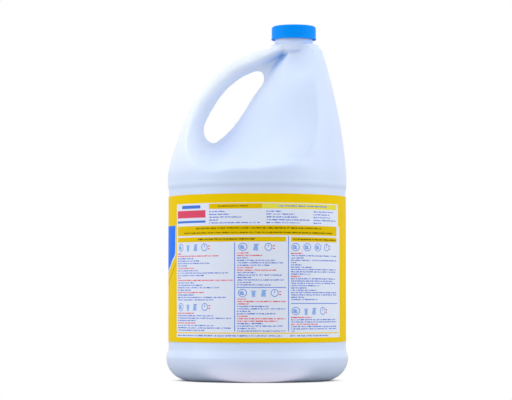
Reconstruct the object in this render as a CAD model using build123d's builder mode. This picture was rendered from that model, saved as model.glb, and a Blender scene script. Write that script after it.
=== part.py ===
from build123d import *
import math
import os

os.makedirs("parts", exist_ok=True)

# A four litre blow-moulded jug with a hollow grip, a wrap-around label and a screw cap.
# Millimetres. X runs from the grip to the neck, Z is up, and the mould parts on the plane Y = 0.
# The origin is the centre of the round foot, on the surface that the jug stands on.

# Plastic thickness of the blown walls, and of the pinched web in the grip's eye
wall = 1.0
web = 3.0

# Round body, from the foot up
body_radius = 78.5
foot_spread = 2.2
foot_corner = 20.4
foot_ring_width = 3.8
foot_slope_width = 16.5
foot_push_up = 8.0
foot_height = 27.0
band_spread = 0.9
band_bevel = 3.0
band_height = 12.5

# Label, one wrap of film on the straight wall between two margins
label_height = 127.9
label_gap = 0.15
label_thickness = 0.3
label_low_margin = 7.6
label_high_margin = 6.0

# Shoulder, ledge and neck
shoulder_rise = 109.5
ledge_rise = 5.1
ledge_setback = 0.5
ledge_offset = 1.0
ledge_foot_spread = 6.75
ledge_spread = 3.65
neck_radius = 16.95
neck_wall = 2.2
neck_height = 14.2
neck_root_depth = 8.6
neck_root_round = 3.0

# A round scoop in the front of the ledge and of the panel below it, which bares the neck's root
scoop_radius = 30.0
scoop_depth = 2.9
scoop_offset = 3.5
scoop_drop = 4.6

# Screw thread, a single right-hand start, below the neck's rim
thread_pitch = 4.2
thread_turns = 1.35
thread_height = 1.15
thread_root_width = 2.2
thread_crest_width = 0.9
thread_margin = 2.23
thread_sink = 0.3
thread_clearance = 0.35

# Cap and its sealing disc
cap_wall = 1.35
cap_top_wall = 1.3
cap_top_round = 2.0
cap_skirt_margin = 1.6
cap_bead = 0.35
cap_bead_height = 1.1
liner_thickness = 1.2
liner_clearance = 0.3

# Places that follow from the sizes above
foot_flat_outer = body_radius + foot_spread - foot_corner
foot_flat_inner = foot_flat_outer - foot_ring_width
band_radius = body_radius + band_spread
label_bottom = foot_height + label_low_margin
label_top = label_bottom + label_height
band_start = label_top + label_high_margin
shoulder_start = band_start + band_bevel + band_height
shoulder_top = shoulder_start + shoulder_rise
ledge_top = shoulder_top + ledge_rise
neck_top = ledge_top + neck_height
neck_root = ledge_top - neck_root_depth
thread_start = neck_top - thread_margin - thread_pitch * thread_turns
cap_bore_radius = neck_radius + thread_height + thread_clearance
cap_radius = cap_bore_radius + cap_wall
cap_bottom = thread_start - cap_skirt_margin
cap_ceiling = neck_top + liner_thickness
cap_top = cap_ceiling + cap_top_wall
liner_radius = cap_bore_radius - thread_height - liner_clearance

# The shoulder's outlines follow the body: the first figure of each point is a share of the band's
# radius, and the second is a share of the shoulder's rise. Each side outline is an arc by three points.
spout_side = ((1.0, 0.0), (0.911, 0.48), (0.729, 1.0))
grip_side = ((-1.0, 0.0), (-0.917, 0.219), (-0.777, 0.48))
grip_back = ((-0.777, 0.48), (-0.549, 0.734), (-0.044, 1.0))
shoulder_sections = 10

# Scooped side panels: the floor is ruled between a curve on the grip side and one on the spout side
panel_reach = 1.07
panel_grip_curve = (
    (-1.108, -0.05), (-0.831, 0.023), (-0.516, 0.196), (-0.247, 0.429), (-0.05, 0.667), (0.264, 1.023)
)
panel_spout_curve = (
    (-1.209, -0.05), (-1.071, 0.023), (-0.838, 0.196), (-0.699, 0.429), (-0.642, 0.667), (-0.453, 1.023)
)
panel_lean = 1.3

# Pinched eye of the grip: two bowls, mirrored, meet at a thin web on the parting plane.
# Each outline of a bowl has the points of its spout side, going down, and then those of its grip side.
pinch = (
    ((0.22, 0.927), (0.145, 0.826), (0.097, 0.753), (-0.094, 0.53), (-0.327, 0.32), (-0.479, 0.226)),
    ((-0.608, 0.269), (-0.621, 0.374), (-0.486, 0.578), (-0.277, 0.749), (-0.063, 0.84)),
)
knuckle_depth = 0.151
knuckle = (
    ((0.403, 1.018), (0.252, 0.868), (0.151, 0.731), (-0.044, 0.502), (-0.264, 0.274), (-0.479, 0.169)),
    ((-0.655, 0.228), (-0.661, 0.384), (-0.519, 0.594), (-0.306, 0.772), (-0.088, 0.868)),
)
mouth_depth = 1.134
mouth = (
    ((0.907, 1.142), (0.907, 0.676), (0.806, 0.475), (0.479, 0.256), (0.0, 0.055), (-0.479, -0.014)),
    ((-0.831, 0.128), (-0.919, 0.411), (-1.121, 0.913), (-0.819, 1.151), (-0.39, 1.37)),
)
finger_hole = (
    ((0.0, 0.836), (-0.193, 0.774), (-0.411, 0.627), (-0.537, 0.48), (-0.601, 0.352), (-0.565, 0.274)),
    ((-0.472, 0.247), (-0.374, 0.301), (-0.164, 0.48), (0.008, 0.677), (0.079, 0.767), (0.063, 0.817)),
)

# Rounded creases of the bowls, each with a point (across, deep, up) near its middle
brow_round = 0.126
brow_place = (0.151, -0.504, 0.447)
grip_round = 0.0252
grip_place = (-0.378, -0.202, 0.74)


def on_shoulder(points):
    """Millimetre places of points that are given as shares of the band's radius and the shoulder's rise."""
    return [(across * band_radius, shoulder_start + up * shoulder_rise) for across, up in points]


def arc_x(points, height):
    """X where the circle through three points of the X-Z plane crosses a height, on the points' side."""
    (ax, az), (bx, bz), (cx, cz) = points
    twice_area = 2 * (ax * (bz - cz) + bx * (cz - az) + cx * (az - bz))
    a2, b2, c2 = ax * ax + az * az, bx * bx + bz * bz, cx * cx + cz * cz
    centre_x = (a2 * (bz - cz) + b2 * (cz - az) + c2 * (az - bz)) / twice_area
    centre_z = (a2 * (cx - bx) + b2 * (ax - cx) + c2 * (bx - ax)) / twice_area
    radius = math.hypot(ax - centre_x, az - centre_z)
    side = math.copysign(1, bx - centre_x)
    return centre_x + side * math.sqrt(radius**2 - (height - centre_z) ** 2)


def grown(points, amount):
    """The corners of a closed outline, each moved outwards by amount. The outline runs clockwise."""
    moved = []
    for place, (x, z) in enumerate(points):
        (ax, az), (bx, bz) = points[place - 1], points[(place + 1) % len(points)]
        span = math.hypot(bx - ax, bz - az)
        moved.append((x - amount * (bz - az) / span, z + amount * (bx - ax) / span))
    return moved


spout_x = on_shoulder(spout_side)[-1][0]
ledge_foot_radius = neck_radius + ledge_foot_spread
ledge_x = spout_x - ledge_setback - ledge_foot_radius
neck_x = ledge_x - ledge_offset


def round_form(inset):
    """The round body and its leaning shoulder before the side panels, closed at the ledge."""
    low_x = foot_flat_inner + inset / 2
    push_up_x = foot_flat_inner - foot_slope_width
    push_up_z = foot_push_up + inset
    corner_radius = foot_corner - inset
    with BuildPart() as form:
        with BuildSketch(Plane.XZ):
            with BuildLine():
                Line((0, push_up_z), (push_up_x, push_up_z))
                Spline((push_up_x, push_up_z), (low_x, inset), tangents=((1, 0), (1, -0.3)))
                Line((low_x, inset), (foot_flat_outer, inset))
                CenterArc((foot_flat_outer, foot_corner), corner_radius, -90, 90)
                Spline(
                    (foot_flat_outer + corner_radius, foot_corner),
                    (body_radius - inset, foot_height),
                    tangents=((0, 1), (0, 1)),
                )
                Polyline(
                    (body_radius - inset, foot_height),
                    (body_radius - inset, band_start),
                    (band_radius - inset, band_start + band_bevel),
                    (band_radius - inset, shoulder_start),
                    (0, shoulder_start),
                    (0, push_up_z),
                )
            make_face()
        revolve(axis=Axis.Z)

        for step in range(shoulder_sections):
            height = shoulder_start + (shoulder_rise - inset) * step / (shoulder_sections - 1)
            grip_arc = on_shoulder(grip_side)
            if height > grip_arc[-1][1]:
                grip_arc = on_shoulder(grip_back)
            right = arc_x(on_shoulder(spout_side), height)
            left = arc_x(grip_arc, height)
            with BuildSketch(Plane.XY.offset(height)):
                with Locations(((left + right) / 2, 0)):
                    Circle((right - left) / 2 - inset)
        loft()

        with BuildSketch(Plane.XY.offset(shoulder_top - 2 * inset)):
            with Locations((ledge_x, 0)):
                Circle(ledge_foot_radius - inset)
        with BuildSketch(Plane.XY.offset(ledge_top - inset)):
            with Locations((ledge_x, 0)):
                Circle(neck_radius + ledge_spread - inset)
        loft()
    return form.part


def panel_cutter(inset):
    """What the front side panel takes away: all that lies in front of a floor ruled between two curves."""
    front = -2 * band_radius
    top = neck_top
    with BuildPart() as panel:
        for side, curve in ((-1, panel_grip_curve), (1, panel_spout_curve)):
            floor = [(y + panel_lean * inset, z) for y, z in on_shoulder(curve)]
            with BuildSketch(Plane.YZ.offset(side * panel_reach * band_radius)):
                with BuildLine():
                    Spline(*floor)
                    Polyline(floor[-1], (floor[-1][0], top), (front, top), (front, floor[0][1]), floor[0])
                make_face()
        loft(ruled=True)
    return panel.part


def bowl_cutter(inset):
    """The bowl in front of the web, lofted through three outlines. The cavity's bowls reach the mid-plane."""
    forward = -web / 2 if inset else 0
    depths = (web / 2, knuckle_depth * band_radius, mouth_depth * band_radius)
    with BuildPart() as bowl:
        for depth, (spout_points, grip_points) in zip(depths, (pinch, knuckle, mouth)):
            outline = grown(on_shoulder(spout_points + grip_points), inset)
            corner = len(spout_points) - 1
            with BuildSketch(Plane.XZ.offset(depth + forward)):
                with BuildLine():
                    Spline(*outline[: corner + 1])
                    Spline(*outline[corner:], outline[0])
                make_face()
        loft()
    return bowl.part


def crease_near(form, place):
    """The edge of a form that passes nearest a point given in shares, as the outlines are."""
    across, deep, up = place
    point = (across * band_radius, deep * band_radius, shoulder_start + up * shoulder_rise)
    return form.edges().sort_by_distance(point)[0]


def jug_form(inset):
    """The blown body with its grip, as a closed solid that lies inside the outer skin by inset."""
    with BuildPart() as carved:
        add(round_form(inset))
        add(panel_cutter(inset), mode=Mode.SUBTRACT)
        add(bowl_cutter(inset), mode=Mode.SUBTRACT)
        fillet(crease_near(carved, brow_place), brow_round * band_radius)
        if not inset:
            fillet(crease_near(carved, grip_place), grip_round * band_radius)
        scoop_y = scoop_depth - neck_radius - scoop_radius
        with Locations((neck_x - scoop_offset, scoop_y, ledge_top - scoop_drop)):
            Sphere(scoop_radius + inset, mode=Mode.SUBTRACT)
        split(bisect_by=Plane.XZ)
        mirror(about=Plane.XZ)
    return carved.part


def thread_ridge(base_radius, outward, start):
    """One helical ridge that stands on a cylinder about the neck's axis."""
    with BuildPart() as ridge:
        with BuildLine() as path:
            Helix(thread_pitch, thread_pitch * thread_turns, base_radius, center=(neck_x, 0, start))
        with BuildSketch(Plane(path.line @ 0, x_dir=(1, 0, 0), z_dir=path.line % 0)):
            with BuildLine():
                Polyline(
                    (-outward * thread_sink, -thread_root_width / 2),
                    (outward * thread_height, -thread_crest_width / 2),
                    (outward * thread_height, thread_crest_width / 2),
                    (-outward * thread_sink, thread_root_width / 2),
                    close=True,
                )
            make_face()
        sweep(path=path.line, is_frenet=True)
    return ridge.part


outer_form = jug_form(0)
inner_form = jug_form(wall)
neck_thread = thread_ridge(neck_radius, 1, thread_start)
cap_thread = thread_ridge(cap_bore_radius, -1, thread_start + thread_pitch / 2)

# The bottle is one blown piece: skin, grip, web, ledge and threaded neck
with BuildPart() as bottle:
    add(outer_form)
    with BuildSketch(Plane.XZ):
        with BuildLine():
            Polyline(
                (neck_x, neck_root),
                (neck_x + neck_radius - neck_root_round, neck_root),
                (neck_x + neck_radius, neck_root + neck_root_round),
                (neck_x + neck_radius, neck_top),
                (neck_x, neck_top),
                close=True,
            )
        make_face()
    revolve(axis=Axis((neck_x, 0, 0), (0, 0, 1)))
    add(neck_thread)
    add(inner_form, mode=Mode.SUBTRACT)
    with BuildSketch(Plane.XY.offset(neck_root + neck_wall)):
        with Locations((neck_x, 0)):
            Circle(neck_radius - neck_wall)
    extrude(amount=neck_root_depth + neck_height, mode=Mode.SUBTRACT)
    hole_spout, hole_grip = on_shoulder(finger_hole[0]), on_shoulder(finger_hole[1])
    with BuildSketch(Plane.XZ.offset(-web)):
        with BuildLine():
            Spline(*hole_spout, hole_grip[0])
            Spline(*hole_grip, hole_spout[0])
        make_face()
    extrude(amount=2 * web, mode=Mode.SUBTRACT)
bottle.part.label = "bottle"

# The label is one closed sleeve of film round the straight wall
with BuildPart() as label:
    with BuildSketch(Plane.XY.offset(label_bottom)):
        Circle(body_radius + label_gap + label_thickness)
        Circle(body_radius + label_gap, mode=Mode.SUBTRACT)
    extrude(amount=label_height)
label.part.label = "label"

# The sealing disc lies on the neck's rim and fills the top of the cap
with BuildPart() as cap_liner:
    with BuildSketch(Plane.XY.offset(neck_top)):
        with Locations((neck_x, 0)):
            Circle(liner_radius)
    extrude(amount=liner_thickness)
cap_liner.part.label = "cap_liner"

# The cap is a moulded cup with a bead round its mouth and a thread inside its skirt
with BuildPart() as cap:
    with BuildSketch(Plane.XZ):
        with BuildLine():
            Polyline(
                (neck_x + cap_bore_radius, cap_bottom),
                (neck_x + cap_radius + cap_bead, cap_bottom),
                (neck_x + cap_radius, cap_bottom + cap_bead_height),
                (neck_x + cap_radius, cap_top),
                (neck_x, cap_top),
                (neck_x, cap_ceiling),
                (neck_x + cap_bore_radius, cap_ceiling),
                close=True,
            )
        make_face()
    revolve(axis=Axis((neck_x, 0, 0), (0, 0, 1)))
    fillet(cap.faces().sort_by(Axis.Z)[-1].edges(), cap_top_round)
    add(cap_thread)
cap.part.label = "cap"

for piece in (bottle.part, label.part, cap_liner.part, cap.part):
    export_step(piece, "parts/" + piece.label + ".step")
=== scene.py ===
import bpy
import bmesh
import math
import random
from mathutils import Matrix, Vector


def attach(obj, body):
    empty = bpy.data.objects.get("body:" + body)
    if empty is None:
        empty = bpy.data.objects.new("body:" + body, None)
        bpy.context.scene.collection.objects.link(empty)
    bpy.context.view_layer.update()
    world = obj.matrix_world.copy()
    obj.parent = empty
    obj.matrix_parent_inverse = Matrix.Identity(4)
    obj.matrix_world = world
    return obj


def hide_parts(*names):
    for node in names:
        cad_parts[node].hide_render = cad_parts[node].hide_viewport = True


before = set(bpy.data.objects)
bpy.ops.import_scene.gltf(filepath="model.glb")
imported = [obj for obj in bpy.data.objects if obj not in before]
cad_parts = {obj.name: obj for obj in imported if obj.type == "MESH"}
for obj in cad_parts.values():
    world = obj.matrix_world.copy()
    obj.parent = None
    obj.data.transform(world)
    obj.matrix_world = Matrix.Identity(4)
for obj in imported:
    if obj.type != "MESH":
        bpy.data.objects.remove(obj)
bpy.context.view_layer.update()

# Bottle: one blow-moulded piece of high density polyethylene, a round body below and a leaning
# shoulder above, pinched to a hollow grip. The halves of the mould meet on the plane Y = 0 and
# leave a thin ridge there, all the way round, across the foot and round the finger hole.
MM = 0.001
UP = (0, 0, 1)
NECK_X = 32.68
BODY_STEPS = 160
WALL_TOP, SHOULDER_LOW = 174.0, 175.0
SHOULDER_TOP, ROOT_LOW = 286.2, 286.8
ROOT_TOP, NECK_LOW = 300.5, 301.5
CAVITY_TOP, BORE_LOW = 298.5, 300.0
SHOULDER_NET, ROOT_NET, CAVITY_NET = 1.3, 0.78, 2.6
foot_and_wall = (
    (0, 8.0, 0),
    (40.5, 8.0, 6),
    (57.0, 0, 1.5),
    (80.7, 0, 20.4),
    (80.7, 22.2, 5.0),
    (78.5, 27.8, 3.4),
    (78.5, 168.4, 1.2),
    (79.4, 171.5, 1.2),
    (79.4, WALL_TOP, 0),
)
foot_and_wall_inside = (
    (0, 9.0, 0),
    (40.9, 9.0, 6),
    (57.3, 1.0, 1.5),
    (79.7, 1.0, 19.4),
    (79.7, 22.0, 5.0),
    (77.5, 28.1, 3.4),
    (77.5, 168.8, 1.2),
    (78.4, 171.8, 1.2),
    (78.4, WALL_TOP, 0),
)
neck_outside = (
    (14.75, BORE_LOW, 0),
    (14.75, 312.8, 0.5),
    (16.95, 312.8, 0.6),
    (16.95, NECK_LOW, 0),
)


def linear(code):
    """An sRGB hex colour as linear red, green, blue and alpha."""
    parts = [int(code[i : i + 2], 16) / 255 for i in (0, 2, 4)]
    return [c / 12.92 if c <= 0.04045 else ((c + 0.055) / 1.055) ** 2.4 for c in parts] + [1.0]


def add(tree, kind, settings={}, values={}, links={}):
    """Adds a node, sets its properties and sockets, and links other nodes' outputs to its inputs."""
    node = tree.nodes.new(kind)
    for name, value in settings.items():
        setattr(node, name, value)
    for name, value in values.items():
        node.inputs[name].default_value = value
    for name, source in links.items():
        tree.links.new(source, node.inputs[name])
    return node


def finish(name, *socket_values):
    """A new material, its tree and its shader, with the shader's fixed values set."""
    material = bpy.data.materials.new(name)
    material.use_nodes = True
    shader = material.node_tree.nodes["Principled BSDF"]
    for socket, value in socket_values:
        shader.inputs[socket].default_value = value
    return material, material.node_tree, shader


def rounded_chain(bm, corners, centre_x=0):
    """A chain of edges through corners given as radius, height and rounding in millimetres."""
    points = [bm.verts.new(((centre_x + r) * MM, 0, z * MM)) for r, z, rounding in corners]
    for low, high in zip(points, points[1:]):
        bm.edges.new((low, high))
    for point, (r, z, rounding) in zip(points, corners):
        if rounding:
            bmesh.ops.bevel(
                bm, geom=[point], offset=rounding * MM, segments=8, profile=0.5, affect="VERTICES", material=-1
            )


def turned(corners, steps, centre_x=0):
    """A chain of edges turned once round an upright axis."""
    bm = bmesh.new()
    rounded_chain(bm, corners, centre_x)
    bmesh.ops.spin(
        bm, geom=bm.verts[:] + bm.edges[:], cent=(centre_x * MM, 0, 0), axis=UP, dvec=(0, 0, 0),
        angle=2 * math.pi, steps=steps, use_merge=True, use_duplicate=False, use_normal_flip=False,
    )
    bmesh.ops.remove_doubles(bm, verts=bm.verts, dist=0.00001)
    return bm


def cut(bm, height, direction=UP, **keep):
    """Cuts a mesh with a plane at a height in millimetres along a direction."""
    everything = bm.verts[:] + bm.edges[:] + bm.faces[:]
    bmesh.ops.bisect_plane(bm, geom=everything, plane_co=Vector(direction) * height * MM, plane_no=direction, **keep)


def keep_skin(bm, start):
    """Leaves only what hangs together with one vertex."""
    skin, waiting = {start}, [start]
    while waiting:
        vert = waiting.pop()
        for edge in vert.link_edges:
            other = edge.other_vert(vert)
            if other not in skin:
                skin.add(other)
                waiting.append(other)
    bmesh.ops.delete(bm, geom=[vert for vert in bm.verts if vert not in skin], context="VERTS")


def join(bm, other):
    """Adds another bmesh to this one."""
    carrier = bpy.data.meshes.new("carrier")
    other.to_mesh(carrier)
    bm.from_mesh(carrier)
    bpy.data.meshes.remove(carrier)
    other.free()


def close_below(bm, height):
    """Cuts off what lies below a height in millimetres and fills the hole."""
    cut(bm, height, clear_inner=True)
    bmesh.ops.holes_fill(bm, edges=[e for e in bm.edges if e.is_boundary], sides=0)


def rim(bm, height):
    """The open edges at a height in millimetres."""
    return [e for e in bm.edges if e.is_boundary and all(abs(v.co.z / MM - height) < 0.1 for v in e.verts)]


def even_grain(bm, size):
    """The same closed surface as an even net of small squares."""
    mesh = bpy.data.meshes.new("grain")
    bm.to_mesh(mesh)
    bm.free()
    carrier = bpy.data.objects.new("grain", mesh)
    bpy.context.scene.collection.objects.link(carrier)
    remesh = carrier.modifiers.new("Even", "REMESH")
    remesh.mode = "VOXEL"
    remesh.voxel_size = size * MM
    remesh.adaptivity = 0
    depsgraph = bpy.context.evaluated_depsgraph_get()
    even = bpy.data.meshes.new_from_object(carrier.evaluated_get(depsgraph))
    bpy.data.objects.remove(carrier)
    bm = bmesh.new()
    bm.from_mesh(even)
    bpy.data.meshes.remove(even)
    bpy.data.meshes.remove(mesh)
    return bm


def relax(bm, rounds, verts):
    """Smooths a net of squares a few times, which rounds its creases."""
    for _ in range(rounds):
        bmesh.ops.smooth_vert(
            bm, verts=verts, factor=0.5, use_axis_x=True, use_axis_y=True, use_axis_z=True,
            mirror_clip_x=False, mirror_clip_y=False, mirror_clip_z=False, clip_dist=0,
        )


def ease(value, low, high):
    """Rises smoothly from 0 at low to 1 at high."""
    share = min(max((value - low) / (high - low), 0), 1)
    return share * share * (3 - 2 * share)


def piece(bm, name, body, materials, nodes, crease=42):
    """Turns a bmesh into a piece that rides on a body and stands for CAD nodes."""
    bmesh.ops.recalc_face_normals(bm, faces=bm.faces)
    mesh = bpy.data.meshes.new(name)
    bm.to_mesh(mesh)
    bm.free()
    mesh.shade_smooth()
    mesh.set_sharp_from_angle(angle=math.radians(crease))
    for material in materials:
        mesh.materials.append(material)
    obj = bpy.data.objects.new(name, mesh)
    bpy.context.scene.collection.objects.link(obj)
    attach(obj, body)
    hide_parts(*nodes)
    return obj


def past_eye(x, z):
    """How far a point in millimetres lies beyond the finger hole's long axis, away from the grip."""
    return (x + 45) * 0.743 - (z - 215) * 0.669


def at_web(x, y, z):
    """Everything but the pinched web and the neck."""
    return ease(y, 1.6, 5) * (1 - ease(z, 276, 285))


def at_grip(x, y, z):
    """The grip and the flanks, between the round wall and the ledge."""
    return ease(y, 3, 17) * ease(z, 184, 196) * (1 - ease(z, 266, 284))


def at_flank(x, y, z):
    """The two side panels, less at their border next to the neck's side."""
    within = ease(z, 184, 196) * (1 - ease(z, 266, 284)) * (1 - 0.7 * ease(x, 40, 54))
    return ease(y, 6, 20) * ease(past_eye(x, z), 2, 16) * within


def at_bend(x, y, z):
    """The grip's top, where it turns down."""
    return 1 - ease(math.hypot(x + 3, z - 293.5), 6, 18)


def soften(bm, size, start):
    """An even net of a skin, with the round folds of blown plastic: tight at the neck and at the
    pinched web, wider round the grip, and so wide on the flanks that they run into each other."""
    bm = even_grain(bm, size)
    share = (1.15 / size) ** 2
    relax(bm, start, bm.verts)
    for rounds, place in ((17, at_web), (50, at_grip), (280, at_flank), (120, at_bend)):
        folds = {}
        for vert in bm.verts:
            x, y, z = vert.co / MM
            strength = place(x, abs(y), z)
            if strength > 0:
                folds[vert] = (strength, vert.co.copy())
        relax(bm, round(rounds * share), list(folds))
        for vert, (strength, sharp) in folds.items():
            vert.co = sharp.lerp(vert.co, strength)
    return bm


blown = bmesh.new()
blown.from_mesh(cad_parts["bottle"].data)
bmesh.ops.remove_doubles(blown, verts=blown.verts, dist=0.000001)
hollow = blown.copy()

# The CAD's skin is opened at the neck, which leaves an outer and an inner one, and each is cut above the
# wall and closed for its net. The neck's root has a finer net of its own.
cut(blown, ROOT_TOP + 0.7, clear_outer=True)
cut(hollow, BORE_LOW, clear_outer=True)
keep_skin(blown, max(blown.verts, key=lambda v: v.co.xy.length))
keep_skin(hollow, min(hollow.verts, key=lambda v: (v.co - Vector((NECK_X, 0, BORE_LOW)) * MM).length))
close_below(blown, WALL_TOP - 3)
close_below(hollow, WALL_TOP - 3)
root = blown.copy()
close_below(root, SHOULDER_TOP - 8.2)
root = soften(root, ROOT_NET, start=2)
shoulder = soften(blown, SHOULDER_NET, start=2)
cavity = soften(hollow, CAVITY_NET, start=0)

# The cavity's net lies 0.4 mm further in, so that the two softened skins never meet.
INWARD = 0.4
cavity.normal_update()
for vert in cavity.verts:
    vert.co -= vert.normal * INWARD * MM * ease(vert.co.z / MM, 176, 190)
for skin, low, top in (
    (shoulder, SHOULDER_LOW, SHOULDER_TOP),
    (root, ROOT_LOW, ROOT_TOP),
    (cavity, SHOULDER_LOW, CAVITY_TOP),
):
    cut(skin, low, clear_inner=True)
    cut(skin, top, clear_outer=True)

bottle = turned(foot_and_wall, BODY_STEPS)
join(bottle, shoulder)
bmesh.ops.bridge_loops(bottle, edges=rim(bottle, WALL_TOP) + rim(bottle, SHOULDER_LOW))
join(bottle, root)
bmesh.ops.bridge_loops(bottle, edges=rim(bottle, SHOULDER_TOP) + rim(bottle, ROOT_LOW))

# The finger hole's lip is smoothed, and the parting ridge is raised on the plane between the halves.
EYE_MIDDLE = Vector((-33, 0, 244)) * MM
EYE_REACH = 50 * MM
LIP_HALF_WIDTH = 2.6
LIP_ROUNDS = 7
RIDGE_HALF_WIDTH = 0.45
RIDGE_HEIGHT, EYE_RIDGE_HEIGHT = 0.14, 0.4


def round_eye(vert):
    """Whether a point is on the finger hole's rim and faces its middle."""
    inward = EYE_MIDDLE - vert.co
    return inward.length < EYE_REACH and vert.normal.dot(inward) > 0


bottle.normal_update()
lip = [vert for vert in bottle.verts if abs(vert.co.y) < LIP_HALF_WIDTH * MM and round_eye(vert)]
relax(bottle, LIP_ROUNDS, lip)
for side in (-RIDGE_HALF_WIDTH, RIDGE_HALF_WIDTH, 0):
    cut(bottle, side, direction=(0, 1, 0))
bottle.normal_update()
for vert in bottle.verts:
    if abs(vert.co.y) < 0.000001:
        vert.co += vert.normal * (EYE_RIDGE_HEIGHT if round_eye(vert) else RIDGE_HEIGHT) * MM

join(bottle, turned(neck_outside, 96, NECK_X))
bmesh.ops.bridge_loops(bottle, edges=rim(bottle, ROOT_TOP) + rim(bottle, NECK_LOW))
inside = turned(foot_and_wall_inside, BODY_STEPS)
join(inside, cavity)
bmesh.ops.bridge_loops(inside, edges=rim(inside, WALL_TOP) + rim(inside, SHOULDER_LOW))
join(bottle, inside)
bmesh.ops.bridge_loops(bottle, edges=rim(bottle, CAVITY_TOP) + rim(bottle, BORE_LOW))

# High density polyethylene, blown against a fine matt mould: milky, faintly blue, with a soft sheen.
# It lets light in a little. The thin grip is painted paler, which is painted light, and deep folds are painted
# bluer, which is painted shade. The orange peel is 3 mm wide and the mould's grain, really 0.1 mm, is drawn at 0.5
# mm so that it shows.
hdpe, tree, shader = finish(
    "blown_polyethylene", ("IOR", 1.54), ("Subsurface Weight", 0.2), ("Subsurface Scale", 0.002),
    ("Subsurface Radius", (0.8, 0.9, 1.0)),
)
RGBA = {"data_type": "RGBA"}
SMOOTH = {"interpolation_type": "SMOOTHSTEP"}
place = add(tree, "ShaderNodeTexCoord").outputs["Object"]
flow = add(tree, "ShaderNodeMapping", values={"Scale": (1, 1, 0.25)}, links={"Vector": place})
streaks = add(tree, "ShaderNodeTexNoise", values={"Scale": 45, "Detail": 3}, links={"Vector": flow.outputs[0]})
tint = add(tree, "ShaderNodeMix", RGBA, {6: linear("ccdcfb"), 7: linear("d3e1fd")}, {0: streaks.outputs[0]})

# Painted light on the grip: a paler tint near its middle as seen from the side, and on its side of the finger hole
side_view = {"Location": (0.032, 0, -0.249), "Scale": (1, 0, 1)}
flat = add(tree, "ShaderNodeMapping", values=side_view, links={"Vector": place})
reach = add(tree, "ShaderNodeVectorMath", {"operation": "LENGTH"}, links={0: flat.outputs[0]})
from_middle = {"From Min": 0.095, "From Max": 0.04}
near = add(tree, "ShaderNodeMapRange", SMOOTH, from_middle, {"Value": reach.outputs["Value"]})
across = add(tree, "ShaderNodeVectorMath", {"operation": "DOT_PRODUCT"}, {1: (0.743, 0, -0.669)}, {0: place})
this_side = {"From Min": -0.152, "From Max": -0.186}
grip = add(tree, "ShaderNodeMapRange", SMOOTH, this_side, {"Value": across.outputs["Value"]})
painted_grip_light_mask = add(tree, "ShaderNodeMath", {"operation": "MULTIPLY"}, links={0: near.outputs[0], 1: grip.outputs[0]})
pale = {7: linear("e6efff")}
painted_grip_light = add(tree, "ShaderNodeMix", RGBA, pale, {0: painted_grip_light_mask.outputs[0], 6: tint.outputs[2]})

# Painted shade in the folds: a bluer tint where ambient occlusion finds the plastic facing itself closely, most on
# the panel's side of the web, above the label
nook = add(tree, "ShaderNodeAmbientOcclusion", {"samples": 6}, {"Distance": 0.014})
fold = add(tree, "ShaderNodeMapRange", SMOOTH, {"From Min": 0.85, "From Max": 0.3}, {"Value": nook.outputs["AO"]})
beside = add(tree, "ShaderNodeVectorMath", {"operation": "DOT_PRODUCT"}, {1: (0.85, 0, -0.526)}, {0: place})
panel_side = {"From Min": -0.1375, "From Max": -0.1335, "To Min": 0.3}
flank = add(tree, "ShaderNodeMapRange", SMOOTH, panel_side, {"Value": beside.outputs["Value"]})
height = add(tree, "ShaderNodeSeparateXYZ", links={"Vector": place})
upper = add(tree, "ShaderNodeMapRange", {}, {"From Min": 0.17, "From Max": 0.2}, {"Value": height.outputs["Z"]})
web = add(tree, "ShaderNodeMath", {"operation": "MULTIPLY"}, links={0: fold.outputs[0], 1: flank.outputs[0]})
painted_fold_shade_mask = add(tree, "ShaderNodeMath", {"operation": "MULTIPLY"}, links={0: web.outputs[0], 1: upper.outputs[0]})
blue = {7: linear("a4ccff")}
painted_fold_shade = add(tree, "ShaderNodeMix", RGBA, blue, {0: painted_fold_shade_mask.outputs[0], 6: painted_grip_light.outputs[2]})
tree.links.new(painted_fold_shade.outputs[2], shader.inputs["Base Color"])

cloud = add(tree, "ShaderNodeTexNoise", values={"Scale": 120, "Detail": 4}, links={"Vector": place})
sheen = add(tree, "ShaderNodeMapRange", values={"To Min": 0.36, "To Max": 0.46}, links={"Value": cloud.outputs[0]})
tree.links.new(sheen.outputs[0], shader.inputs["Roughness"])
peel = add(tree, "ShaderNodeTexNoise", values={"Scale": 330, "Detail": 1}, links={"Vector": place})
low = add(tree, "ShaderNodeBump", values={"Strength": 0.35, "Distance": 0.00004}, links={"Height": peel.outputs[0]})
grain = add(tree, "ShaderNodeTexNoise", values={"Scale": 2000, "Detail": 2}, links={"Vector": place})
on_peel = {"Height": grain.outputs[0], "Normal": low.outputs[0]}
fine = add(tree, "ShaderNodeBump", values={"Strength": 0.3, "Distance": 0.00002}, links=on_peel)
tree.links.new(fine.outputs[0], shader.inputs["Normal"])

piece(bottle, "bottle_blown", "bottle", [hdpe], ["bottle"])

# Thread on the neck: a single right-hand ridge, moulded with the bottle, that fades out at both ends.
# It turns 1.35 times and climbs 4.2 mm a turn.
THREAD_PITCH = 4.2
THREAD_TURNS = 1.35
THREAD_START = 304.9


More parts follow.
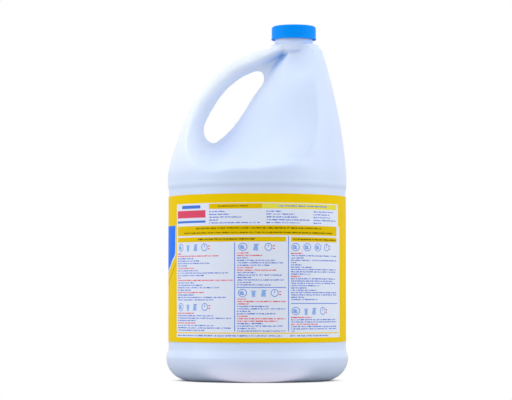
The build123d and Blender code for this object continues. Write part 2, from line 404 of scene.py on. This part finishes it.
def thread(radius, outward, start, steps=130, sink=0.3, height=1.15, fade=6):
    """A helical ridge on a cylinder about the neck's axis, thinned to nothing at its ends."""
    bm = bmesh.new()
    corners = ((-sink, -1.1), (height, -0.45), (height, 0.45), (-sink, 1.1))
    ring = [bm.verts.new(((NECK_X + radius + outward * out) * MM, 0, (start + up) * MM)) for out, up in corners]
    first = [bm.edges.new((ring[i], ring[i - 1])) for i in range(4)]
    climb = (0, 0, THREAD_PITCH * THREAD_TURNS * MM / steps)
    bmesh.ops.spin(
        bm, geom=ring + first, cent=(NECK_X * MM, 0, 0), axis=UP, dvec=climb, angle=2 * math.pi * THREAD_TURNS,
        steps=steps, use_merge=False, use_duplicate=False, use_normal_flip=False,
    )
    bm.verts.ensure_lookup_table()
    axis = Vector((NECK_X * MM, 0, 0))
    for i, vert in enumerate(bm.verts):
        place = i // 4
        left = min(place, steps - place) / fade
        if left < 1 and i % 4 in (1, 2):
            flat = Vector((vert.co.x, vert.co.y, 0)) - axis
            vert.co -= flat.normalized() * outward * (height + sink * 0.9) * (1 - math.sin(left * math.pi / 2)) * MM
    bmesh.ops.holes_fill(bm, edges=[e for e in bm.edges if e.is_boundary], sides=4)
    return bm


piece(thread(16.95, 1, THREAD_START), "bottle_thread", "bottle", [hdpe], [])

# Label: one wrap of printed film round the straight wall, whose ends meet behind the bottle. It is
# printed in eight inks on a yellow ground. Words are drawn as broken bars and pictures as plain shapes.
LABEL_RADIUS = 78.95
LABEL_LOW = 34.6
LABEL_HIGH = 162.5
INKS = {
    "yellow": "f0cc00",
    "white": "e2eafb",
    "gold": "e6c200",
    "pale": "e8e04e",
    "blue": "4f7fe0",
    "red": "e0506f",
    "olive": "7a6e12",
    "sky": "8fb6f0",
    "azure": "2f7af8",
    "blue words": "2f5fd0",
    "red words": "d8304f",
    "olive words": "5f5608",
}
GROUNDS = {"blue words": "dbe5fa", "red words": "f0c8d6", "olive words": "d8b800"}
INK_LIFT = 0.035


def field(bm, ink, left, right, low, high, layer):
    """A rectangle of one ink in the unrolled label, in millimetres along and up."""
    made = bmesh.ops.create_grid(bm, x_segments=1, y_segments=1, size=0.5)["verts"]
    bmesh.ops.scale(bm, verts=made, vec=(right - left, high - low, 1))
    bmesh.ops.translate(bm, verts=made, vec=((left + right) / 2, (low + high) / 2, layer * INK_LIFT))
    for face in {f for v in made for f in v.link_faces}:
        face.material_index = list(INKS).index(ink)


def disc(bm, ink, x, y, radius, layer, inner=0, squash=1.0, sides=28):
    """A filled circle, or a ring where inner isn't 0, in the unrolled label."""
    made = bmesh.ops.create_circle(bm, cap_ends=not inner, segments=sides, radius=radius)["verts"]
    if inner:
        hole = bmesh.ops.create_circle(bm, cap_ends=False, segments=sides, radius=inner)["verts"]
        edges = {e for v in made + hole for e in v.link_edges}
        bmesh.ops.bridge_loops(bm, edges=list(edges))
        made = made + hole
    bmesh.ops.scale(bm, verts=made, vec=(squash, 1, 1))
    bmesh.ops.translate(bm, verts=made, vec=(x, y, layer * INK_LIFT))
    for face in {f for v in made for f in v.link_faces}:
        face.material_index = list(INKS).index(ink)


def shape(bm, ink, corners, layer):
    """A filled outline of straight runs in the unrolled label."""
    face = bm.faces.new([bm.verts.new((x, y, layer * INK_LIFT)) for x, y in corners])
    face.material_index = list(INKS).index(ink)


def words(bm, ink, left, right, middle, height, layer, dice, gap=0.6):
    """A row of print as a broken bar: runs of the length of words with narrow gaps."""
    at = left
    while at < right - gap:
        end = min(at + dice.choice((1.4, 2.2, 3.1, 3.9, 4.8, 6.1, 7.4)), right)
        field(bm, ink + " words", at, end, middle - height / 2, middle + height / 2, layer)
        at = end + gap


film = bmesh.new()
dice = random.Random(7)
half = math.pi * LABEL_RADIUS
field(film, "yellow", -half, half, LABEL_LOW, LABEL_HIGH, 0)
panel = ((-86.4, 38.8), (90.5, 38.8), (90.5, 135.4), (87.2, 135.4), (87.2, 154.7), (-86.4, 154.7))
shape(film, "white", panel, 1)
field(film, "gold", -43.7, 4.1, 149.5, 154.0, 2)
words(film, "olive", -35, -8, 151.8, 1.1, 3, dice)
field(film, "pale", 4.15, 84.2, 149.5, 154.0, 2)
words(film, "blue", 17.9, 69.0, 151.8, 1.0, 3, dice)
field(film, "gold", -84.3, 84.2, 126.8, 135.1, 2)
words(film, "olive", -58.0, 61.1, 132.9, 1.2, 3, dice)
words(film, "olive", -74.1, 77.3, 129.0, 1.2, 3, dice)
field(film, "gold", -84.3, 25.1, 121.3, 125.3, 2)
words(film, "olive", -55.6, -1.9, 123.4, 1.4, 3, dice)
field(film, "gold", 29.6, 84.2, 121.3, 125.3, 2)
words(film, "olive", 31.5, 83.0, 123.2, 1.3, 3, dice)
for left, right, low, high in (
    (-19.9, -19.2, 44.3, 120.4),
    (27.0, 27.7, 44.3, 125.8),
    (-17.9, 25.1, 81.6, 82.2),
    (29.6, 85.4, 67.9, 68.5),
):
    field(film, "blue", left, right, low, high, 2)
field(film, "yellow", -86.3, 87.5, 42.4, 43.3, 2)
words(film, "blue", -84.3, 21.5, 40.5, 1.0, 2, dice)
words(film, "blue", 28.7, 71.9, 40.5, 1.0, 2, dice)

# (left end, height of the first row, pitch, rows); each row is an ink's first letter and its length
columns = (
    (-84.3, 111.2, 2.1, "r7 r50 b23 b30 b41 b15 r24 b29 b60 b35 r5 r63 b24 b35 b51 b20 r35 b24 b57 b45"),
    (-84.3, 59.7, 2.1, "r24 b45 b62 b26 r26 b45 b62 b36"),
    (-17.5, 111.4, 2.1, "r10 r22 b10 b34 b40 b29 r14 r34 b16 b39 b13 b41 b12 b29"),
    (-17.5, 72.0, 2.1, "r8 r42 r10 b27 b42 b12 b34 r10 r42 r35 b22 b40 b16 b42"),
    (29.6, 111.2, 1.98, "r11 b54 b12 b54 b5 b10 b21 b54 b52 b19 r10 b52 b48 b52 b30 b15 b27 b54 b54 b13 b27"),
    (29.6, 56.2, 1.96, "r21 b52 b54 r28 b54 b54 b3"),
    (-43.7, 147.2, 2.44, "b15 b19 b30 b10 b46"),
    (7.9, 147.2, 2.44, "b13 b25 b28 b40 b30"),
    (52.3, 147.2, 2.44, "b26 b20 b21 b31 b9"),
)
for left, top, pitch, rows in columns:
    for i, row in enumerate(rows.split()):
        ink = "red" if row[0] == "r" else "blue"
        words(film, ink, left, left + int(row[1:]), top - i * pitch, 0.95, 2, dice)

# Pictures of use, as plain shapes: a hand in a ring, a cup, a jug and a clock with two short marks
for y, kinds in (
    (116.6, ((-78.9, "hand"), (-68.2, "cup"), (-58.5, "jug"), (-48.6, "clock"))),
    (116.6, ((-12.4, "hand"), (-1.1, "jug"), (9.6, "clock"))),
    (116.6, ((34.0, "hand"), (45.6, "hand"), (57.4, "hand"), (68.5, "clock"))),
    (65.2, ((-78.9, "hand"), (-68.2, "cup"), (-59.2, "jug"), (-48.1, "clock"))),
    (77.2, ((-12.7, "hand"), (-3.2, "cup"), (5.6, "jug"), (15.0, "clock"))),
    (61.8, ((34.2, "hand"), (44.3, "cup"), (53.0, "jug"), (63.2, "clock"))),
):
    for x, kind in kinds:
        if kind == "hand":
            disc(film, "blue", x, y, 3.4, 2, inner=2.9, squash=1.15)
            disc(film, "sky", x - 0.8, y + 0.2, 1.5, 2, squash=1.3, sides=12)
            field(film, "blue", x - 2.2, x + 1.6, y - 1.5, y - 1.0, 3)
        elif kind == "cup":
            shape(film, "sky", ((x - 1.6, y + 1.0), (x - 1.3, y - 2.6), (x + 1.3, y - 2.6), (x + 1.6, y + 1.0)), 2)
            field(film, "blue", x - 2.1, x + 2.1, y + 1.3, y + 1.8, 2)
            field(film, "blue", x - 1.6, x + 1.6, y - 3.2, y - 2.8, 2)
        elif kind == "jug":
            shape(film, "sky", ((x - 1.4, y + 1.8), (x - 2.4, y - 2.4), (x + 1.8, y - 2.4), (x + 1.5, y + 1.8)), 2)
            field(film, "blue", x - 1.8, x + 2.6, y + 2.0, y + 2.5, 2)
            field(film, "blue", x - 2.4, x + 1.8, y - 3.0, y - 2.6, 2)
        else:
            disc(film, "blue", x, y, 3.3, 2, inner=2.75)
            field(film, "blue", x - 0.3, x + 0.3, y, y + 2.0, 2)
            field(film, "red", x + 3.9, x + 5.6, y + 0.6, y + 1.5, 2)
            field(film, "red", x + 3.9, x + 5.6, y - 1.8, y - 0.9, 2)

# Place of the name in the upper corner of the white panel: three plain bars in its colours
field(film, "blue", -77.0, -53.0, 150.2, 153.0, 2)
field(film, "red", -84.6, -47.4, 142.2, 148.6, 2)
field(film, "blue", -84.6, -47.4, 137.8, 139.7, 2)

# Side away from the tables of use, centred behind the bottle and drawn up to both ends of the film: a blue
# field with a white edge and a dark line below it, plain bars where its name would be, and blank boxes
right_bow = [
    (-89.4, 136.3), (-90.2, 112), (-92.5, 109), (-97, 106.5), (-105, 100.5), (-124, 94.5), (-145, 89),
    (-170, 84.5), (-200, 81.5),
]
left_bow = [(-248, 81), (-296, 84), (-326, 90), (-346, 99), (-354, 108), (-356, 136.3)]
line = [
    (-88, 104), (-92, 99.9), (-100, 93), (-112, 87), (-124, 83), (-145, 78), (-170, 74), (-200, 71.5),
    (-248, 71), (-296, 74), (-330, 81),
]
for turn in (0, 2 * half):
    edge = []
    for x, y in right_bow + left_bow:
        aside = 1.1 if x > -210 else -1.1 if x < -340 else 0
        edge.append((x + aside + turn, y - (0 if y > 136 else 1.3)))
    shape(film, "white", edge, 1)
    shape(film, "azure", [(x + turn, y) for x, y in right_bow + left_bow], 2)
    shape(film, "olive", [(x + turn, y) for x, y in line] + [(x + turn, y - 0.6) for x, y in reversed(line)], 1)
    for ink, low, high, layer, left, width in (
        ("white", 125.5, 130.5, 3, -274, 52),
        ("white", 97.5, 121.5, 3, -304, 112),
        ("red", 99.3, 119.7, 4, -302, 108),
        ("white", 89.5, 94.0, 3, -282, 68),
        ("white", 44.0, 60.0, 1, -286, 76),
        ("gold", 46.0, 50.5, 2, -284, 72),
        ("white", 44.0, 64.0, 1, -352, 34),
        ("pale", 144.5, 152.5, 1, -300, 104),
    ):
        field(film, ink, left + turn, left + width + turn, low, high, layer)

# The flat print is cut at the film's ends and every 2.5 mm so that it bends, is given a thickness of
# 0.3 mm below the ground and a little for each ink, and is wrapped round the wall.
BEND_STEP = 2.5


def cut_film(x, **keep):
    """Cuts the unrolled label across, x millimetres along."""
    everything = film.verts[:] + film.edges[:] + film.faces[:]
    bmesh.ops.bisect_plane(film, geom=everything, plane_co=(x, 0, 0), plane_no=(1, 0, 0), **keep)


cut_film(-half, clear_inner=True)
cut_film(half, clear_outer=True)
for cell in range(-99, 100):
    cut_film(cell * BEND_STEP)
FILM_THICKNESS, INK_DEPTH = 0.3, 0.02
under = bmesh.ops.extrude_face_region(film, geom=film.faces[:], use_keep_orig=True)["geom"]
for vert in under:
    if isinstance(vert, bmesh.types.BMVert):
        layer = round(vert.co.z / INK_LIFT)
        vert.co.z = -INK_DEPTH * layer if layer else -FILM_THICKNESS
ends = [face for face in film.faces if all(abs(vert.co.x) > half - 0.001 for vert in face.verts)]
bmesh.ops.delete(film, geom=ends, context="FACES")
for vert in film.verts:
    turn = vert.co.x / LABEL_RADIUS
    radius = LABEL_RADIUS + vert.co.z
    vert.co = Vector((radius * math.sin(turn), -radius * math.cos(turn), vert.co.y)) * MM
bmesh.ops.remove_doubles(film, verts=film.verts, dist=0.000002)

# Printed film: flat inks on smooth film, which show almost no gloss in this even light. The ink's body
# varies a little from place to place, and letters too fine to draw break up each bar of print.
inks = []
for name, code in INKS.items():
    material_name = "film_ink_" + name.replace(" ", "_")
    ink, tree, shader = finish(material_name, ("Roughness", 0.5), ("IOR", 1.5), ("Specular IOR Level", 0.03))
    place = add(tree, "ShaderNodeTexCoord").outputs["Object"]
    body = add(tree, "ShaderNodeTexNoise", values={"Scale": 90, "Detail": 3}, links={"Vector": place})
    tone = linear(code)
    weaker = [c * 0.93 for c in tone[:3]] + [1.0]
    colour = add(tree, "ShaderNodeMix", RGBA, {6: weaker, 7: tone}, {0: body.outputs[0]})
    if name in GROUNDS:
        letters = add(tree, "ShaderNodeTexNoise", values={"Scale": 1300, "Detail": 1}, links={"Vector": place})
        between = {"From Min": 0.47, "From Max": 0.62}
        gaps = add(tree, "ShaderNodeMapRange", SMOOTH, between, {"Value": letters.outputs[0]})
        ground = {7: linear(GROUNDS[name])}
        colour = add(tree, "ShaderNodeMix", RGBA, ground, {0: gaps.outputs[0], 6: colour.outputs[2]})
    tree.links.new(colour.outputs[2], shader.inputs["Base Color"])
    ripple = add(tree, "ShaderNodeTexNoise", values={"Scale": 60, "Detail": 2}, links={"Vector": place})
    wave = {"Strength": 0.2, "Distance": 0.00008}
    bump = add(tree, "ShaderNodeBump", values=wave, links={"Height": ripple.outputs[0]})
    tree.links.new(bump.outputs[0], shader.inputs["Normal"])
    inks.append(ink)
piece(film, "label_film", "bottle", inks, ["label"])

# Sealing disc: white foam polyethylene, punched from sheet and pressed into the top of the cap.
foam, tree, shader = finish("foam_polyethylene", ("Base Color", linear("eeeeea")), ("Roughness", 0.75), ("IOR", 1.5))
place = add(tree, "ShaderNodeTexCoord").outputs["Object"]
cells = add(tree, "ShaderNodeTexVoronoi", values={"Scale": 2200}, links={"Vector": place})
cell_tones = {6: linear("e2e2dc"), 7: linear("f2f2ee")}
shade = add(tree, "ShaderNodeMix", RGBA, cell_tones, {0: cells.outputs["Distance"]})
tree.links.new(shade.outputs[2], shader.inputs["Base Color"])
pit = {"Strength": 0.5, "Distance": 0.0001}
dent = add(tree, "ShaderNodeBump", values=pit, links={"Height": cells.outputs["Distance"]})
tree.links.new(dent.outputs[0], shader.inputs["Normal"])
foam_corners = ((0, 312.8, 0), (17.0, 312.8, 0.15), (17.0, 314.0, 0.15), (0, 314.0, 0))
piece(turned(foam_corners, 96, NECK_X), "cap_liner_foam", "liner", [foam], ["cap_liner"])

# Cap: injection-moulded polypropylene, a plain cup with a soft top edge and a small bead round its
# mouth, screwed down over the neck. Its thread runs inside the skirt.
cap_corners = (
    (0, 314.0, 0),
    (18.45, 314.0, 0.8),
    (18.45, 303.3, 0.2),
    (20.15, 303.3, 0.3),
    (20.05, 304.2, 0.3),
    (19.8, 304.9, 0.4),
    (19.72, 315.3, 2.1),
    (0, 315.3, 0),
)
cup = turned(cap_corners, 128, NECK_X)
join(cup, thread(18.45, -1, THREAD_START + THREAD_PITCH / 2))

# Polypropylene, moulded in polished steel: an even strong blue that stays pure because it mirrors so
# little, a faint swirl of flow from the gate at its centre, and fine scuffs from packing.
pp, tree, shader = finish("moulded_polypropylene", ("IOR", 1.49), ("Specular IOR Level", 0.04))
place = add(tree, "ShaderNodeTexCoord").outputs["Object"]
flow = {"Scale": 110, "Detail": 3, "Distortion": 1.2}
swirl = add(tree, "ShaderNodeTexNoise", values=flow, links={"Vector": place})
blue = add(tree, "ShaderNodeMix", RGBA, {6: linear("008cf8"), 7: linear("0094ff")}, {0: swirl.outputs[0]})
tree.links.new(blue.outputs[2], shader.inputs["Base Color"])
scuff = add(tree, "ShaderNodeTexNoise", values={"Scale": 900, "Detail": 4}, links={"Vector": place})
gloss = add(tree, "ShaderNodeMapRange", values={"To Min": 0.3, "To Max": 0.42}, links={"Value": scuff.outputs[0]})
tree.links.new(gloss.outputs[0], shader.inputs["Roughness"])
scratch = {"Strength": 0.15, "Distance": 0.00003}
mark = add(tree, "ShaderNodeBump", values=scratch, links={"Height": scuff.outputs[0]})
tree.links.new(mark.outputs[0], shader.inputs["Normal"])
piece(cup, "cap_moulded", "cap", [pp], ["cap"])

# Floor: a white sweep that fades into a white backdrop and keeps the shadow under the foot.
floor_mesh = bmesh.new()
bmesh.ops.create_grid(floor_mesh, x_segments=1, y_segments=1, size=6)
sweep, tree, shader = finish("white_sweep", ("Base Color", linear("f4f4f4")), ("Roughness", 0.8))
place = add(tree, "ShaderNodeTexCoord").outputs["Object"]
reach = add(tree, "ShaderNodeVectorMath", {"operation": "LENGTH"}, links={0: place})
past_foot = {"From Min": 0.061, "From Max": 0.08}
fade = add(tree, "ShaderNodeMapRange", SMOOTH, past_foot, {"Value": reach.outputs["Value"]})
path = add(tree, "ShaderNodeLightPath")
camera_ray = path.outputs["Is Camera Ray"]
pale = add(tree, "ShaderNodeMix", RGBA, {6: linear("b4b4b4"), 7: linear("cacace")}, {0: camera_ray})
tree.links.new(pale.outputs[2], shader.inputs["Base Color"])
seen = add(tree, "ShaderNodeMath", {"operation": "MULTIPLY"}, links={0: fade.outputs[0], 1: camera_ray})
white = add(tree, "ShaderNodeEmission", values={"Color": linear("ffffff"), "Strength": 1.0})
both = add(tree, "ShaderNodeMixShader", links={0: seen.outputs[0], 1: shader.outputs[0], 2: white.outputs[0]})
tree.links.new(both.outputs[0], tree.nodes["Material Output"].inputs["Surface"])
mesh = bpy.data.meshes.new("floor")
floor_mesh.to_mesh(mesh)
floor_mesh.free()
mesh.materials.append(sweep)
floor = bpy.data.objects.new("floor", mesh)
bpy.context.scene.collection.objects.link(floor)

# Backdrop and fill: a white world to the camera, and an even white, a little dimmer, on the object.
world = bpy.data.worlds.new("studio")
bpy.context.scene.world = world
world.use_nodes = True
tree = world.node_tree
background = tree.nodes["Background"]
background.inputs["Color"].default_value = linear("ffffff")
path = add(tree, "ShaderNodeLightPath")
seen_rays = {0: path.outputs["Is Camera Ray"], 1: path.outputs["Is Glossy Ray"]}
seen = add(tree, "ShaderNodeMath", {"operation": "ADD"}, links=seen_rays)
all_seen_rays = {0: seen.outputs[0], 1: path.outputs["Is Transmission Ray"]}
clear = add(tree, "ShaderNodeMath", {"operation": "ADD"}, links=all_seen_rays)
strength = add(tree, "ShaderNodeMapRange", values={"To Min": 0.98, "To Max": 1.0}, links={"Value": clear.outputs[0]})
tree.links.new(strength.outputs[0], background.inputs["Strength"])

# Soft boxes: one on each side, a little in front and of the same size, and a weaker one overhead.
for name, where, width, height, power in (
    ("left", (-1.75, -0.5, 0.75), 1.1, 1.4, 9),
    ("right", (1.75, -0.5, 0.75), 1.1, 1.4, 8),
    ("top", (0.0, -0.1, 1.9), 1.2, 1.2, 2.5),
):
    lamp = bpy.data.lights.new(name, "AREA")
    lamp.shape = "RECTANGLE"
    lamp.size, lamp.size_y, lamp.energy = width, height, power
    holder = bpy.data.objects.new(name, lamp)
    holder.location = where
    aim = Vector((0, 0, 0.16)) - Vector(where)
    holder.rotation_euler = aim.to_track_quat("-Z", "Y").to_euler()
    bpy.context.scene.collection.objects.link(holder)

# Card on the floor in front of the foot: a small, weak, faintly pink light from below.
lamp = bpy.data.lights.new("card", "AREA")
lamp.shape = "RECTANGLE"
lamp.size, lamp.size_y, lamp.energy, lamp.color = 0.1, 0.028, 0.0052, (1.0, 0.75, 0.64)
holder = bpy.data.objects.new("card", lamp)
holder.location = (0, -0.078, 0.0003)
holder.rotation_euler = (math.pi, 0, 0)
bpy.context.scene.collection.objects.link(holder)

# Camera: level with the lower part of the label, two metres away, and tilted up a little.
lens = bpy.data.cameras.new("camera")
lens.lens, lens.sensor_width = 160.8, 36
camera = bpy.data.objects.new("camera", lens)
camera.location = (-0.001068, -2.03543, 0.07033)
camera.rotation_euler = (math.radians(92.5287), 0, 0)
bpy.context.scene.collection.objects.link(camera)
bpy.context.scene.camera = camera
bpy.context.scene.view_settings.view_transform = "Standard"
